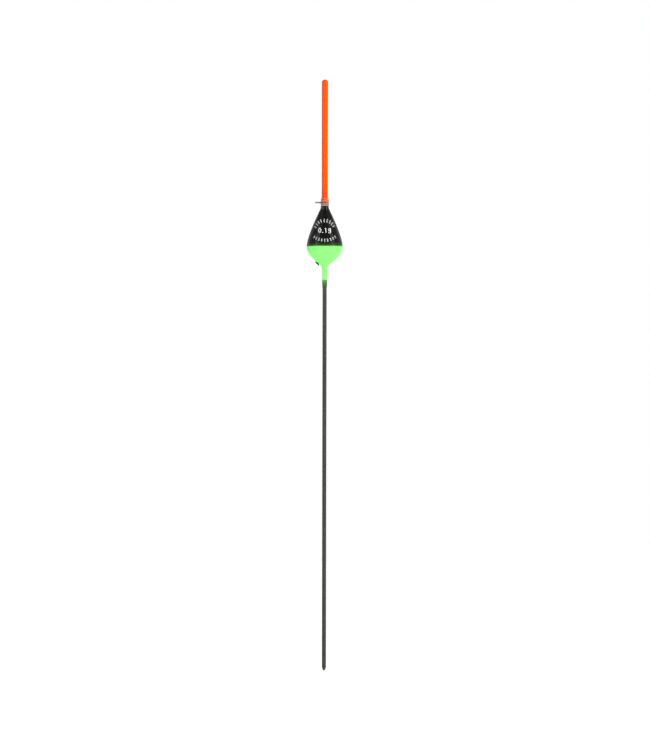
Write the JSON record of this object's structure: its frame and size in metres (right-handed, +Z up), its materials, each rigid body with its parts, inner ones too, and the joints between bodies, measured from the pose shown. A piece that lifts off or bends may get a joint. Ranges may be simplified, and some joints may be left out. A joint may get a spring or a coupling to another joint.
{
  "type": "stick bobber float",
  "caption": "Slim stick float: pointed stem, teardrop body with an inner line tube, wire line eye under a clear collar, and a hollow bright antenna.",
  "frame": {"origin": "centre of the flat at the stem's bottom end", "axes": "+Z up along the stem towards the antenna tip, -X towards the line eye and the line tube"},
  "size_m": [0.008, 0.008, 0.13],
  "materials": {
    "stem": "satin",
    "body_foam": "matte",
    "black_lacquer": "gloss",
    "green_lacquer": "gloss",
    "seal_lacquer": "gloss",
    "tube_plastic": "satin",
    "eye_wire": "satin",
    "clear_collar": "gloss",
    "antenna_plastic": "satin"
  },
  "bodies": {
    "root": {"stem": "stem", "body_core": "body_foam", "black_top_coat": "black_lacquer", "green_bottom_coat": "green_lacquer", "neck_seal_coat": "seal_lacquer", "line_tube": "tube_plastic", "line_eye": "eye_wire", "collar_sleeve": "clear_collar", "antenna_tube": "antenna_plastic", "antenna_end_plug": "antenna_plastic"}
  },
  "joints": []
}
